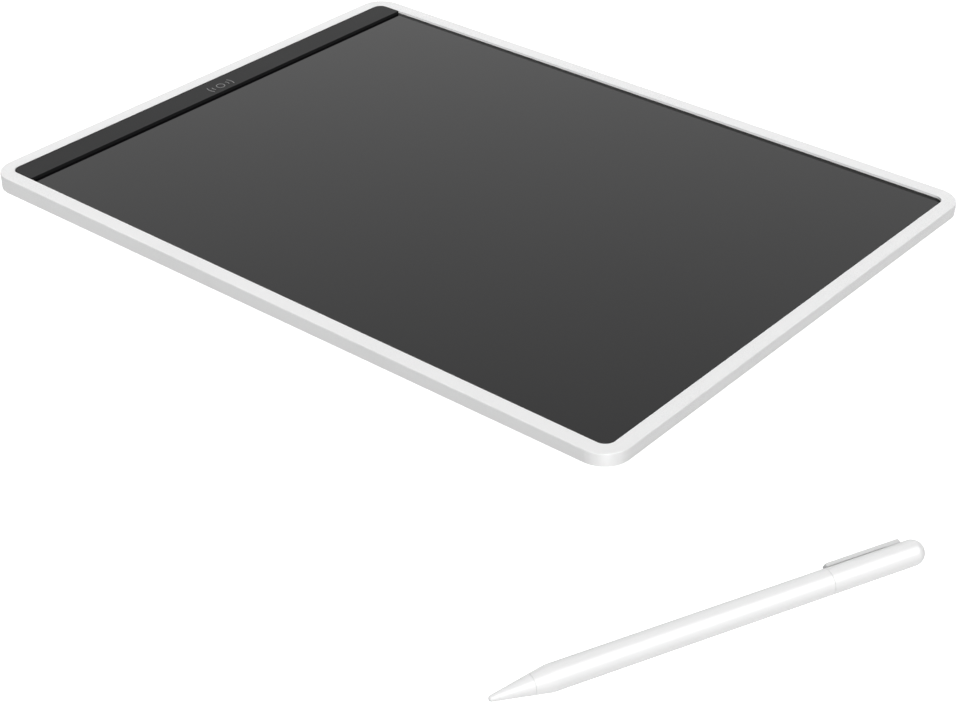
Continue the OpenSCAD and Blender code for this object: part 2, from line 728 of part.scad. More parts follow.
module lock_switch() color("#55585c") on_deck() translate([lock_mid, lock_y, board_top]) difference() {
    linear_extrude(lock_switch_h) even_plate([lock_switch_l, lock_switch_w], lock_switch_h / 4);
    translate([0, 0, -over]) linear_extrude(over + lock_switch_h * 0.75) square(lever_room, center = true);
}

module lock_lever() color("#222222") {
    top = deck_z(lock_y) + board_top + lock_switch_h * 0.6;
    translate([lock_x - lever_w / 2, lock_y - lever_w / 2, lever_low]) cube([lever_w, lever_w, top - lever_low]);
}

module lock_slider() color("#e4e4e3") translate([lock_x, lock_y, 0]) difference() {
    union() {
        translate([0, 0, slider_low]) linear_extrude(slider_t) even_plate([slider_l, slider_w], slider_margin / 3);
        translate([0, 0, knob_sink]) linear_extrude(slider_low + slider_t / 2 - knob_sink)
            even_plate([knob_l, knob_w], knob_w / 9);
    }
    translate([0, 0, lever_low]) linear_extrude(slider_top) square(lever_w + seat_gap, center = true);
    for (i = [-1:1]) translate([i * knob_l / 4, 0, knob_sink])
        cube([2 * knob_sink, knob_w + over, 2 * knob_sink], center = true);
}

module board_screws() color("#b8bbbf") on_deck() for (side = [-1, 1]) translate([side * board_screw_x, board_y, 0])
    difference() {
        union() {
            translate([0, 0, board_top]) cylinder(d = board_screw_head_d, h = board_screw_head_h);
            translate([0, 0, board_screw_skin - deck_z(board_y)])
                cylinder(d = board_screw_d, h = board_top + deck_z(board_y) - board_screw_skin + board_screw_head_h / 5);
        }
        for (turn = [0, 90]) rotate(turn) translate([0, 0, board_top + board_screw_head_h])
            cube([board_screw_head_d * 0.6, board_screw_d / 4, board_screw_head_h], center = true);
    }

module coin_cell() color("#c9cdd2") translate([cell_x, cell_y, cell_low]) {
    cylinder(d = cell_d, h = cell_t * 0.75);
    cylinder(d = cell_d * 0.88, h = cell_t);
}

module cell_positive_contact() color("#d4b46a") translate([cell_x, cell_y, 0]) {
    side = cell_d / 2;
    low = cell_low + cell_t / 4;
    translate([-contact_w / 2, side, contact_top - contact_t])
        cube([contact_w, board_front + contact_foot_l - cell_y - side, contact_t]);
    translate([-contact_w / 2, side, low]) cube([contact_w, contact_t, contact_top - contact_t / 2 - low]);
}

// Leaf that rises from the board's underside and bends down onto the cell
module cell_negative_contact() color("#d4b46a") translate([cell_x + contact_pitch, 0, 0]) {
    touch = cell_top + contact_t;
    bend = touch + contact_rise;
    bent_strip([
        [board_front + contact_foot_l, contact_top], [board_front - solder_t, contact_top],
        [board_front - well_clear, bend], [cell_y + cell_d / 4, bend], [cell_y + cell_d / 8, touch],
        [cell_y + cell_d / 16, touch], [cell_y - cell_d / 32, bend]
    ], contact_t, contact_w);
}

module battery_door() color("#e8e8e7") translate([cell_x, cell_y, 0]) difference() {
    union() {
        translate([door_x, 0, 0]) linear_extrude(door_t) even_plate([door_l, door_w], door_r);
        translate([-door_back, -tongue_w / 2, 0]) cube([tongue_wall, tongue_w, tongue_low + tongue_t]);
        translate([-door_back - tongue_out, -tongue_w / 2, tongue_low])
            cube([tongue_out + tongue_wall, tongue_w, tongue_t]);
    }
    translate([door_screw_x, 0, 0]) countersunk_hole(door_t);
}

module battery_door_screw() color("#9a9da1") translate([cell_x + door_screw_x, cell_y, 0])
    countersunk_screw(ledge_top + ledge_t / 2);

// Stylus

// Moves a stylus piece, drawn along +Z from its tip, to where it lies
module laid_down()
    translate([stylus_x, stylus_y, stylus_r]) rotate(stylus_turn) rotate([0, 90, 0]) children();

// Turns +X to the clip's side
module clip_side() rotate(90 + clip_turn) children();

module stylus_nib() color("#f4f4f3") laid_down() rotate_extrude() polygon(concat(
    arc([0, tip_r], tip_r, -90, -taper),
    [[nib_r, nib_l], [plug_r, nib_l], [plug_r, nib_l + plug_l], [0, nib_l + plug_l]]
));

module stylus_barrel() color("#f4f4f3") laid_down() rotate_extrude() polygon(concat(
    [[bore_d / 2, nib_l + seam_w], [nib_r + seam_w * tan(taper), nib_l + seam_w]],
    arc([stylus_r - shoulder_r, shoulder_z + shoulder_r * sin(taper)], shoulder_r, -taper, 0),
    [[stylus_r, cap_z - seam_w], [bore_d / 2, cap_z - seam_w]]
));

module stylus_cap() color("#f4f4f3") laid_down() difference() {
    rotate_extrude() polygon(concat(
        [[0, cap_z - plug_l], [plug_r, cap_z - plug_l], [plug_r, cap_z], [stylus_r, cap_z]],
        arc([0, stylus_l - stylus_r], stylus_r, 0, 90)
    ));
    clip_side() translate([stylus_r - clip_sink - stylus_fit, -clip_w / 2 - stylus_fit, clip_to - clip_root - stylus_fit])
        cube([clip_sink + over, clip_w + 2 * stylus_fit, clip_root + 2 * stylus_fit]);
}

module stylus_clip() color("#e2e2e1") laid_down() clip_side() difference() {
    intersection() {
        // Side view, with the root end sloping down to the cap
        rotate([90, 0, 0]) linear_extrude(clip_w + over, center = true) polygon(concat(
            [[stylus_r - clip_sink, clip_from]],
            arc([clip_high - clip_edge_r, clip_from + clip_edge_r], clip_edge_r, -90, 0, 8),
            arc([clip_high - clip_edge_r, root_y], clip_edge_r, 0, root_turn, 8),
            [[stylus_r, clip_to], [stylus_r - clip_sink, clip_to]]
        ));
        // Seen from outside
        translate([0, 0, clip_from]) rotate([0, 90, 0]) linear_extrude(clip_high + over)
            translate([-clip_l / 2, 0]) even_plate([clip_l, clip_w], clip_edge_r);
    }
    // Underside that follows the cap, as far as the root
    translate([0, 0, clip_from - over]) cylinder(r = clip_low, h = clip_l - clip_root + over);
}

front_frame();
lcd_panel();
lcd_gasket();
lcd_backing();
lcd_tail();
erase_bar();
back_cover();
cover_screws();
control_board();
board_components();
tail_connector();
tact_switch();
tact_plunger();
lock_switch();
lock_lever();
lock_slider();
board_screws();
coin_cell();
cell_positive_contact();
cell_negative_contact();
battery_door();
battery_door_screw();
stylus_nib();
stylus_barrel();
stylus_cap();
stylus_clip();
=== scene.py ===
"""Finishes, press mark and studio stage for an LCD writing tablet with its stylus.

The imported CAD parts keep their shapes. This add-on gives each of them its material, prints the press
mark on the erase bar, and sets up the floor, the lamps and the camera.
"""

import functools
import json
import math
import operator

import bpy
from bpy.props import FloatProperty, FloatVectorProperty, PointerProperty
from mathutils import Euler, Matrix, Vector


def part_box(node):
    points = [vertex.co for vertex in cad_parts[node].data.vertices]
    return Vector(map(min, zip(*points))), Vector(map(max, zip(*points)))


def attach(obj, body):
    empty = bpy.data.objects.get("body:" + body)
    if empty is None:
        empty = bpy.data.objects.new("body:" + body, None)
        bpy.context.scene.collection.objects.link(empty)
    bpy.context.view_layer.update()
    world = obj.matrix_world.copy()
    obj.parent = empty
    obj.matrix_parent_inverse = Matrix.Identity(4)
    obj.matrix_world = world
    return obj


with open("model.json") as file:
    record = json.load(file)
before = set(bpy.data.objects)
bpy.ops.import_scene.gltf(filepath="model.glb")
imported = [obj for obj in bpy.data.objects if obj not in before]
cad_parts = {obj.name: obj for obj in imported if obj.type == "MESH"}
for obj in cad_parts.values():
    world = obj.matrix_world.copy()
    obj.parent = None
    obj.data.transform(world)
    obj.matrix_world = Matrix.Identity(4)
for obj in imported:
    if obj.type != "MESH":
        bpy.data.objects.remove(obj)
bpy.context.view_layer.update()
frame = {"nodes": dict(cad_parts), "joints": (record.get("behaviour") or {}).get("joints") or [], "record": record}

bl_info = {
    "name": "Writing Slate Looks",
    "version": (1, 0, 0),
    "blender": (4, 5, 0),
    "location": "View3D > Sidebar > Slate",
    "description": "Finishes, press mark and studio stage for an LCD writing tablet with its stylus",
    "category": "Object",
}

MM = 0.001
FULL_TURN = 2 * math.pi
RECORD = frame["record"]
COLOURS = {entry["slot"]: entry["base_color"] for entry in RECORD["materials"]}
COPPER = (0.78, 0.42, 0.2)
WHITE = (1, 1, 1)

# Steps of the press mark's arcs, and how near two points are to be merged
ARC_STEP = math.radians(6)
FEWEST_STEPS = 8
MERGE_DISTANCE = 0.001 * MM

# Camera: its sensor in millimetres, and the nearest and farthest it sees in metres
SENSOR_WIDTH = 36
NEAREST_SEEN = 0.01
FARTHEST_SEEN = 100

# Floor: how far it lies below the slate, and what the camera sees of it
FLOOR_DROP = 0.05 * MM
FLOOR_GREY = 0.7
FLOOR_GLOW = 0.65

# Lamps: height above the floor, heading or turn from the key lamp's heading, and width, all as angles
FILL_HEIGHT = math.radians(33)
FILL_SOFTNESS = math.radians(50)
UNDER_SOFTNESS = math.radians(4)
SIDE_HEADINGS = {"right": 0, "head": math.pi / 2}
SIDE_HEIGHT = math.radians(-15)
SIDE_SOFTNESS = math.radians(4)
BACKDROP_HEIGHT = math.radians(15)
BACKDROP_SOFTNESS = math.radians(70)
GLEAM_TURN = math.radians(50)
GLEAM_HEIGHT = math.radians(45)
CORNER_TURN = math.radians(3)
CORNER_HEIGHT = math.radians(-12)
CORNER_SOFTNESS = math.radians(40)

# Parts whose flat tops would mirror the gleam lamp from behind
FLAT_PARTS = ("front_frame", "lcd_panel", "erase_bar")


# Shared shader tools


class Shade:
    """An output socket that works in Python expressions. Each operator adds a Math node."""

    def __init__(self, paint, socket):
        self.paint = paint
        self.socket = socket

    def __add__(self, other):
        return self.paint.math("ADD", self, other)

    def __radd__(self, other):
        return self.paint.math("ADD", other, self)

    def __sub__(self, other):
        return self.paint.math("SUBTRACT", self, other)

    def __rsub__(self, other):
        return self.paint.math("SUBTRACT", other, self)

    def __mul__(self, other):
        return self.paint.math("MULTIPLY", self, other)

    def __rmul__(self, other):
        return self.paint.math("MULTIPLY", other, self)

    def __gt__(self, other):
        return self.paint.math("GREATER_THAN", self, other)

    def __lt__(self, other):
        return self.paint.math("LESS_THAN", self, other)

    def __or__(self, other):
        return self.paint.math("MAXIMUM", self, other)


class Paint:
    """A node tree that is filled from Python expressions."""

    def __init__(self, tree):
        self.tree = tree
        tree.nodes.clear()

    def add(self, kind, settings=None, values=None, output=0):
        """Adds a node, makes its settings, then sets or links its sockets, and returns one output."""
        node = self.tree.nodes.new("ShaderNode" + kind)
        for name, setting in (settings or {}).items():
            if name == "stops":
                self.set_stops(node.color_ramp, setting)
            else:
                setattr(node, name, setting)
        for name, value in (values or {}).items():
            self.feed(node.inputs[name], value)
        return Shade(self, node.outputs[output]) if len(node.outputs) else node

    def set_stops(self, ramp, stops):
        """Gives a ramp its stops, each a position and a grey."""
        while len(ramp.elements) < len(stops):
            ramp.elements.new(1)
        for element, (position, grey) in zip(ramp.elements, stops):
            element.position = position
            element.color = (grey, grey, grey, 1)

    def feed(self, socket, value):
        """Links a socket to a shade, or sets it to a number or a colour."""
        if isinstance(value, Shade):
            self.tree.links.new(value.socket, socket)
        elif socket.type == "RGBA":
            socket.default_value = (*value[:3], 1)
        else:
            socket.default_value = value

    def math(self, operation, *values):
        return self.add("Math", {"operation": operation}, dict(enumerate(values)))

    def mix(self, factor, first, second):
        """A colour between two colours."""
        return self.add("Mix", {"data_type": "RGBA"}, {0: factor, 6: first, 7: second}, 2)

    def shaded(self, factor, colour, dark, light):
        """One colour, made darker or lighter from place to place."""
        return self.mix(factor, tinted(colour, dark), tinted(colour, light))

    def place(self):
        """The point's place on the part, in metres."""
        return self.add("TexCoord", None, None, "Object")

    def along(self, axis, place):
        """One coordinate of a place."""
        return self.add("SeparateXYZ", None, {0: place}, axis)

    def stretched(self, place, scale, turn=0):
        """The place, drawn out along an axis, for grain that runs one way."""
        return self.add("Mapping", None, {"Vector": place, "Scale": scale, "Rotation": (0, 0, turn)})

    def noise(self, place, feature, detail=2.0):
        """Soft cloudy values whose spots are about as large as the feature."""
        return self.add("TexNoise", None, {"Vector": place, "Scale": 1 / feature, "Detail": detail})

    def cells(self, place, feature, **settings):
        """Distance from the middle of scattered cells."""
        return self.add("TexVoronoi", settings, {"Vector": place, "Scale": 1 / feature})

    def ramp(self, value, *stops):
        """The value's grey on a ramp, whose stops are pairs of position and grey."""
        return self.add("ValToRGB", {"stops": stops}, {0: value})

    def bump(self, height, depth):
        """Relief of a depth in metres."""
        return self.add("Bump", None, {"Strength": 1.0, "Distance": depth, "Height": height})


def tinted(colour, factor):
    """The colour, darker or lighter by a factor."""
    return tuple(min(1.0, part * factor) for part in colour)


def swing(value, width):
    """A value from 0 to 1, as a swing of this width about 0."""
    return width * (value - 0.5)


def new_finish(name):
    """A new material and the paint that fills its nodes."""
    material = bpy.data.materials.new(name)
    material.use_nodes = True
    return material, Paint(material.node_tree)


def close_finish(paint, **sockets):
    """Ends a finish with one surface shader. Names use _ for the space in a socket's name."""
    values = {name.replace("_", " "): value for name, value in sockets.items()}
    surface = paint.add("BsdfPrincipled", None, values)
    paint.add("OutputMaterial", None, {"Surface": surface})


def dress(slot, material):
    """Gives a finish to every CAD node of a material slot."""
    for part in RECORD["subparts"]:
        if part["material_slot"] == slot:
            for place in frame["nodes"][part["node"]].material_slots:
                place.material = material


# Finishes


def moulded_plastic(name, colour, roughness, grain, relief, tone=0.02, specular=0.5):
    """Injection-moulded plastic: a fine even grain, and faint clouds of tone from the flow."""
    material, paint = new_finish(name)
    place = paint.place()
    flow = paint.noise(place, feature=45 * MM, detail=3.0)
    skin = paint.noise(place, feature=grain, detail=3.0)
    close_finish(
        paint,
        Base_Color=paint.shaded(flow, colour, dark=1 - tone, light=1 + tone),
        Roughness=roughness + swing(skin, 0.08) + swing(flow, 0.06),
        Normal=paint.bump(skin, relief),
        Specular_IOR_Level=specular,
    )
    return material


def screen_film(colour, ior, roughness):
    """Smooth dark film over liquid crystal, with faint wiping marks in its gloss."""
    material, paint = new_finish("screen film")
    place = paint.place()
    wiping = paint.stretched(place, scale=(1, 0.15, 1), turn=math.radians(35))
    wiped = paint.noise(wiping, feature=9 * MM, detail=4.0)
    depth = paint.noise(place, feature=70 * MM)
    marks = paint.ramp(wiped, (0.45, 0), (0.75, 1))
    close_finish(
        paint,
        Base_Color=paint.shaded(depth, colour, dark=0.8, light=1.2),
        Roughness=roughness + 0.02 * marks,
        IOR=ior,
    )
    return material


def ink_print(colour):
    """Pad-printed ink, a little uneven where the bar's grain shows through."""
    material, paint = new_finish("press mark ink")
    cover = paint.noise(paint.place(), feature=0.12 * MM)
    close_finish(
        paint,
        Base_Color=paint.shaded(cover, colour, dark=0.8, light=1.15),
        Roughness=0.45 + 0.2 * cover,
        Normal=paint.bump(cover, depth=0.004 * MM),
    )
    return material


def tape_and_slit_shade(colour):
    """Double-sided tape: a black carrier with short fibres. Its black also serves as painted shade, the dark line
    in the slit under the frame's lip.
    """
    material, paint = new_finish("adhesive tape")
    place = paint.place()
    fibre_size = 0.25 * MM
    lengthways = paint.stretched(place, scale=(1, 0.2, 1), turn=math.radians(50))
    crossways = paint.stretched(place, scale=(0.2, 1, 1), turn=math.radians(20))
    fibres = paint.noise(lengthways, fibre_size, detail=4.0)
    crossed = paint.noise(crossways, fibre_size, detail=4.0)
    web = fibres | crossed
    close_finish(
        paint,
        Base_Color=paint.shaded(web, colour, dark=0.85, light=1.1),
        Roughness=0.5 + 0.3 * web,
        Normal=paint.bump(web, depth=0.02 * MM),
    )
    return material


def lead_film(colour, copper):
    """Amber film with a row of copper tracks along its length."""
    material, paint = new_finish("screen lead")
    place = paint.place()
    across = paint.along("X", place)
    track_pitch = 0.5 * MM
    wave = paint.math("SINE", across * (FULL_TURN / track_pitch))
    tracks = paint.ramp(wave, (0.45, 0), (0.6, 1))
    tone = paint.noise(place, feature=3 * MM)
    film = paint.shaded(tone, colour, dark=0.9, light=1.1)
    close_finish(
        paint,
        Base_Color=paint.mix(tracks, film, copper),
        Roughness=0.35 + 0.1 * tone - 0.1 * tracks,
        Metallic=0.6 * tracks,
        Normal=paint.bump(tracks, depth=0.02 * MM),
    )
    return material


def circuit_board(mask_colour, copper):
    """Green solder mask over copper tracks that run both ways, with plated holes."""
    material, paint = new_finish("circuit board")
    place = paint.place()
    track_pitch = 0.8 * MM
    lanes_x = paint.math("SINE", paint.along("X", place) * (FULL_TURN / track_pitch))
    lanes_y = paint.math("SINE", paint.along("Y", place) * (FULL_TURN / track_pitch))
    patch = paint.cells(place, feature=5 * MM, distance="CHEBYCHEV") > 0.42
    lanes = patch * lanes_x + (1 - patch) * lanes_y
    tracks = paint.ramp(lanes, (0.5, 0), (0.62, 1))
    spots = paint.cells(place, feature=2.4 * MM)
    ring = (spots < 0.16) * (spots > 0.08)
    weave = paint.noise(place, feature=0.3 * MM)
    mask = paint.mix(tracks, mask_colour, tinted(mask_colour, 1.7))
    close_finish(
        paint,
        Base_Color=paint.mix(ring, mask, copper),
        Roughness=0.3 + 0.15 * weave + 0.1 * ring,
        Metallic=0.9 * ring,
        Normal=paint.bump(tracks + ring, depth=0.03 * MM),
    )
    return material


def drawn_metal(name, colour, roughness, line_width):
    """Rolled sheet metal, with fine lines along X."""
    material, paint = new_finish(name)
    place = paint.place()
    lines = paint.noise(paint.stretched(place, scale=(0.05, 1, 1)), line_width, detail=3.0)
    cloud = paint.noise(place, feature=4 * MM)
    close_finish(
        paint,
        Base_Color=paint.shaded(cloud, colour, dark=0.88, light=1.08),
        Roughness=roughness + swing(lines, 0.2) + 0.1 * cloud,
        Metallic=1.0,
        Normal=paint.bump(lines, depth=0.006 * MM),
    )
    return material


def cell_steel(colour, centre):
    """Nickel-plated can of a coin cell, turned in fine rings round its middle."""
    material, paint = new_finish("coin cell nickel")
    place = paint.place()
    across = paint.along("X", place) - centre.x
    along = paint.along("Y", place) - centre.y
    radius = paint.math("SQRT", across * across + along * along)
    ring_width = 0.08 * MM
    rings = paint.add("TexNoise", {"noise_dimensions": "1D"}, {"W": radius, "Scale": 1 / ring_width})
    cloud = paint.noise(place, feature=5 * MM)
    close_finish(
        paint,
        Base_Color=paint.shaded(cloud, colour, dark=0.9, light=1.05),
        Roughness=0.22 + swing(rings, 0.2) + 0.08 * cloud,
        Metallic=1.0,
        Normal=paint.bump(rings, depth=0.004 * MM),
    )
    return material


# Sizes and colours to change


def colour_setting(name, description, default):
    return FloatVectorProperty(
        name=name, description=description, subtype="COLOR", min=0, max=1, default=default
    )


def length_setting(name, description, millimetres):
    return FloatProperty(
        name=name, description=description, unit="LENGTH", precision=5, default=millimetres * MM
    )


def angle_setting(name, description, degrees):
    return FloatProperty(
        name=name, description=description, subtype="ANGLE", default=math.radians(degrees)
    )


def strength_setting(name, description, default):
    return FloatProperty(name=name, description=description, min=0, default=default)


class SlateFinishes(bpy.types.PropertyGroup):
    """Colours and grain of the slate and its stylus."""

    shell: colour_setting("Shell", "White of the front frame", COLOURS["white_shell"])
    back: colour_setting("Back", "White of the back cover, the door and the slider", COLOURS["white_back"])
    stylus: colour_setting("Stylus", "White of the stylus", COLOURS["white_stylus"])
    screen: colour_setting("Screen", "Dark of the writing screen", COLOURS["screen_film"])
    bar: colour_setting("Bar", "Black of the erase bar", COLOURS["black_bar"])
    ink: colour_setting("Ink", "Grey of the press mark", COLOURS["mark_ink"])
    # A greyer white than the stylus, which makes the clip's side come out darker than the barrel.
    clip: colour_setting("Clip", "Grey of the stylus's clip", COLOURS["clip_grey"])
    copper: colour_setting("Copper", "Metal of tracks and plated holes", COPPER)
    shell_grain: length_setting("Shell grain", "Size of the front frame's fine grain", 0.25)
    back_grain: length_setting("Back grain", "Size of the back's coarser grain", 0.45)


class PressMark(bpy.types.PropertyGroup):
    """Sizes of the mark printed on the erase bar: a ring between two pairs of arcs."""

    ring_radius: length_setting("Ring radius", "Middle line of the ring", 1.75)
    inner_reach: length_setting("Inner reach", "How far the inner arcs reach from the ring's middle", 4.1)
    outer_reach: length_setting("Outer reach", "How far the outer arcs reach from the ring's middle", 6.15)
    inner_radius: length_setting("Inner arc radius", "Radius of the inner arcs", 2.5)
    outer_radius: length_setting("Outer arc radius", "Radius of the outer arcs", 4.9)
    inner_height: length_setting("Inner arc height", "Height of the inner arcs, along Y", 2.4)
    outer_height: length_setting("Outer arc height", "Height of the outer arcs, along Y", 4.7)
    stroke: length_setting("Stroke", "Width of the printed lines", 0.36)
    ink_height: length_setting("Ink height", "Thickness of the ink", 0.02)
    place: FloatVectorProperty(
        name="Place",
        description="Middle of the ring on the bar, seen from above",
        subtype="TRANSLATION",
        unit="LENGTH",
        size=2,
        default=(-0.75 * MM, 137.15 * MM),
    )


class StudioStage(bpy.types.PropertyGroup):
    """Camera, floor and lamps."""

    camera_place: FloatVectorProperty(
        name="Camera place",
        description="Where the camera stands",
        subtype="TRANSLATION",
        unit="LENGTH",
        default=(-0.529225, -0.448846, 0.369696),
    )
    camera_turn: FloatVectorProperty(
        name="Camera turn",
        description="How the camera is turned",
        subtype="EULER",
        default=tuple(map(math.radians, (57.64098, 0.20351, -49.99095))),
    )
    lens: FloatProperty(
        name="Lens", description="Focal length in millimetres", unit="CAMERA", default=76.867
    )
    floor_span: FloatProperty(name="Floor", description="Width of the floor", unit="LENGTH", default=12)
    floor_bounce: FloatProperty(
        name="Floor bounce",
        description="Share of light that the floor gives back to the slate",
        subtype="FACTOR",
        default=0.05,
    )
    key_strength: strength_setting("Key lamp", "Strength of the main lamp", 3.36)
    key_height: angle_setting("Key height", "Height of the main lamp", 32)
    key_heading: angle_setting("Key heading", "Where the main lamp stands, turned left from +X", 224.5)
    key_softness: angle_setting("Key softness", "Width of the main lamp", 60)
    fill_strength: strength_setting("Fill lamp", "Strength of the lamp behind", 1.69)
    under_strength: strength_setting("Under lamp", "Strength of the lamp from below", 1.65)
    side_strength: strength_setting("Side lamps", "Strength of the two low lamps on the far sides", 1.15)
    backdrop_strength: strength_setting("Backdrop", "Strength of the lit backdrop, in gloss alone", 0.35)
    gleam_strength: strength_setting("Gleam lamp", "Strength of the lamp at the side, in gloss alone", 3.8)
    corner_strength: strength_setting("Corner lamp", "Strength of the low front lamp, in gloss alone", 3.0)
    ambient: strength_setting("Ambient", "Strength of the light from all round", 0.01)


# Pieces and finishes as operators


class SLATE_OT_finish_mouldings(bpy.types.Operator):
    """Give the frame, the back, the cell door, the slider and the erase bar their plastics"""

    bl_idname = "slate.finish_mouldings"
    bl_label = "Finish Mouldings"

    def execute(self, context):
        finish = context.scene.slate_finishes
        shell = moulded_plastic(
            "shell plastic",
            finish.shell,
            roughness=0.28,
            grain=finish.shell_grain,
            relief=0.004 * MM,
            specular=0.4,
        )
        back = moulded_plastic(
            "back plastic", finish.back, roughness=0.5, grain=finish.back_grain, relief=0.02 * MM
        )
        bar = moulded_plastic(
            "bar plastic",
            finish.bar,
            roughness=0.5,
            grain=0.2 * MM,
            relief=0.004 * MM,
            tone=0.06,
            specular=0.11,
        )
        dress("white_shell", shell)
        dress("white_back", back)
        dress("black_bar", bar)
        return {"FINISHED"}


class SLATE_OT_finish_screen(bpy.types.Operator):
    """Give the writing screen, its tape, its backing sheet and its lead their finishes"""

    bl_idname = "slate.finish_screen"
    bl_label = "Finish Screen"

    def execute(self, context):
        finish = context.scene.slate_finishes
        backing = moulded_plastic(
            "backing sheet",
            COLOURS["backing_plate"],
            roughness=0.55,
            grain=0.3 * MM,
            relief=0.01 * MM,
            tone=0.1,
        )
        dress("screen_film", screen_film(finish.screen, ior=1.265, roughness=0.015))
        # The tape's black also stands in as painted shade for the dark slit under the frame's lip.
        dress("adhesive", tape_and_slit_shade(COLOURS["adhesive"]))
        dress("backing_plate", backing)
        dress("lead_film", lead_film(COLOURS["lead_film"], finish.copper))
        return {"FINISHED"}


class SLATE_OT_finish_board(bpy.types.Operator):
    """Give the circuit board, its components, its socket and its switches their finishes"""

    bl_idname = "slate.finish_board"
    bl_label = "Finish Board"

    def execute(self, context):
        finish = context.scene.slate_finishes
        component = moulded_plastic(
            "component black",
            COLOURS["component_black"],
            roughness=0.5,
            grain=0.12 * MM,
            relief=0.01 * MM,
            tone=0.15,
        )
        connector = moulded_plastic(
            "socket ivory",
            COLOURS["connector_white"],
            roughness=0.45,
            grain=0.15 * MM,
            relief=0.006 * MM,
            tone=0.05,
        )
        switch = drawn_metal("switch steel", COLOURS["switch_metal"], roughness=0.35, line_width=0.05 * MM)
        dress("circuit_board", circuit_board(COLOURS["circuit_board"], finish.copper))
        dress("component_black", component)
        dress("connector_white", connector)
        dress("switch_metal", switch)
        return {"FINISHED"}


class SLATE_OT_finish_metals(bpy.types.Operator):
    """Give the screws, the coin cell and its contacts their metals"""

    bl_idname = "slate.finish_metals"
    bl_label = "Finish Metals"

    def execute(self, context):
        low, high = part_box("coin_cell")
        screw = drawn_metal("screw steel", COLOURS["screw_steel"], roughness=0.3, line_width=0.06 * MM)
        contact = drawn_metal(
            "contact bronze", COLOURS["contact_metal"], roughness=0.28, line_width=0.05 * MM
        )
        dress("screw_steel", screw)
        dress("cell_steel", cell_steel(COLOURS["cell_steel"], centre=(low + high) / 2))
        dress("contact_metal", contact)
        return {"FINISHED"}


class SLATE_OT_finish_stylus(bpy.types.Operator):
    """Give the stylus and its clip their satin plastics"""

    bl_idname = "slate.finish_stylus"
    bl_label = "Finish Stylus"

    def execute(self, context):
        finish = context.scene.slate_finishes
        skin = {"grain": 0.3 * MM, "relief": 0.002 * MM}
        stylus = moulded_plastic("stylus plastic", finish.stylus, roughness=0.25, specular=0.42, **skin)
        # The clip's finish is a greyer white than the stylus, so its side comes out darker than the barrel beside
        # it.
        clip = moulded_plastic("clip plastic", finish.clip, roughness=0.4, specular=0.3, **skin)
        dress("white_stylus", stylus)
        dress("clip_grey", clip)
        return {"FINISHED"}


def sweep_stroke(centre, radius, start, angle, mark):
    """Spins a small upright ink section clockwise round a centre, in the mesh that is being edited."""
    middle = centre + radius * Vector((math.cos(start), math.sin(start), 0))
    bpy.ops.mesh.select_all(action="DESELECT")
    bpy.ops.mesh.primitive_plane_add(size=1, rotation=(math.pi / 2, 0, start))
    bpy.ops.transform.resize(value=(mark.stroke, mark.stroke, mark.ink_height), center_override=(0, 0, 0))
    bpy.ops.transform.translate(value=middle + Vector((0, 0, mark.ink_height / 2)))
    steps = max(FEWEST_STEPS, round(angle / ARC_STEP))
    bpy.ops.mesh.spin(steps=steps, angle=angle, center=centre, axis=(0, 0, 1))


class SLATE_OT_print_mark(bpy.types.Operator):
    """Print the press mark, a ring between two pairs of arcs, on the erase bar"""

    bl_idname = "slate.print_mark"
    bl_label = "Print Press Mark"

    def execute(self, context):
        mark = context.scene.slate_mark
        bpy.ops.object.select_all(action="DESELECT")
        bpy.ops.mesh.primitive_plane_add(size=mark.stroke)
        piece = context.object
        piece.name = "press_mark"
        bpy.ops.object.mode_set(mode="EDIT")
        bpy.ops.mesh.select_all(action="SELECT")
        bpy.ops.mesh.delete(type="VERT")
        self.sweep_arcs(mark.inner_reach, mark.inner_radius, mark.inner_height, mark)
        self.sweep_arcs(mark.outer_reach, mark.outer_radius, mark.outer_height, mark)
        sweep_stroke(Vector((0, 0, 0)), mark.ring_radius, 0, FULL_TURN, mark)
        self.close_strokes()
        bpy.ops.object.mode_set(mode="OBJECT")
        self.lay_on_bar(piece, mark.place)
        piece.data.materials.append(ink_print(context.scene.slate_finishes.ink))
        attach(piece, "erase_bar")
        return {"FINISHED"}

    def sweep_arcs(self, reach, radius, height, mark):
        """Sweeps a pair of like arcs, one on each side of the ring."""
        half = math.asin(height / 2 / radius)
        for side, towards in ((1, 0), (-1, math.pi)):
            centre = Vector((side * (reach - radius), 0, 0))
            sweep_stroke(centre, radius, towards + half, 2 * half, mark)

    def close_strokes(self):
        """Merges the ring's ends, takes out the face between them and turns all faces outwards."""
        bpy.ops.mesh.select_all(action="SELECT")
        bpy.ops.mesh.remove_doubles(threshold=MERGE_DISTANCE)
        bpy.ops.mesh.select_all(action="DESELECT")
        bpy.ops.mesh.select_interior_faces()
        bpy.ops.mesh.delete(type="ONLY_FACE")
        bpy.ops.mesh.select_all(action="SELECT")
        bpy.ops.mesh.normals_make_consistent(inside=False)

    def lay_on_bar(self, piece, place):
        """Turns the flat mark to the bar's slope and sets it on the bar's top."""
        press = next(joint for joint in frame["joints"] if joint["child"] == "erase_bar")
        up = -Vector(press["axis"])
        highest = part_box("erase_bar")[1]
        slope = -up.y / up.z
        top = highest.z - (highest.y - place[1]) * slope
        piece.rotation_euler = (math.atan(slope), 0, 0)
        piece.location = (place[0], place[1], top)
        bpy.ops.object.transform_apply(location=True, rotation=True, scale=True)


# Stage


def add_lamp(name, direction, strength, softness, in_gloss=True, in_diffuse=True):
    """A far lamp that shines from a direction. It can be left out of gloss or of diffuse light."""
    lamp = bpy.data.lights.new(name, "SUN")
    lamp.energy = strength
    lamp.angle = softness
    holder = bpy.data.objects.new(name, lamp)
    holder.rotation_euler = Vector(direction).to_track_quat("Z", "Y").to_euler()
    holder.visible_glossy = in_gloss
    holder.visible_diffuse = in_diffuse
    bpy.context.scene.collection.objects.link(holder)
    return holder


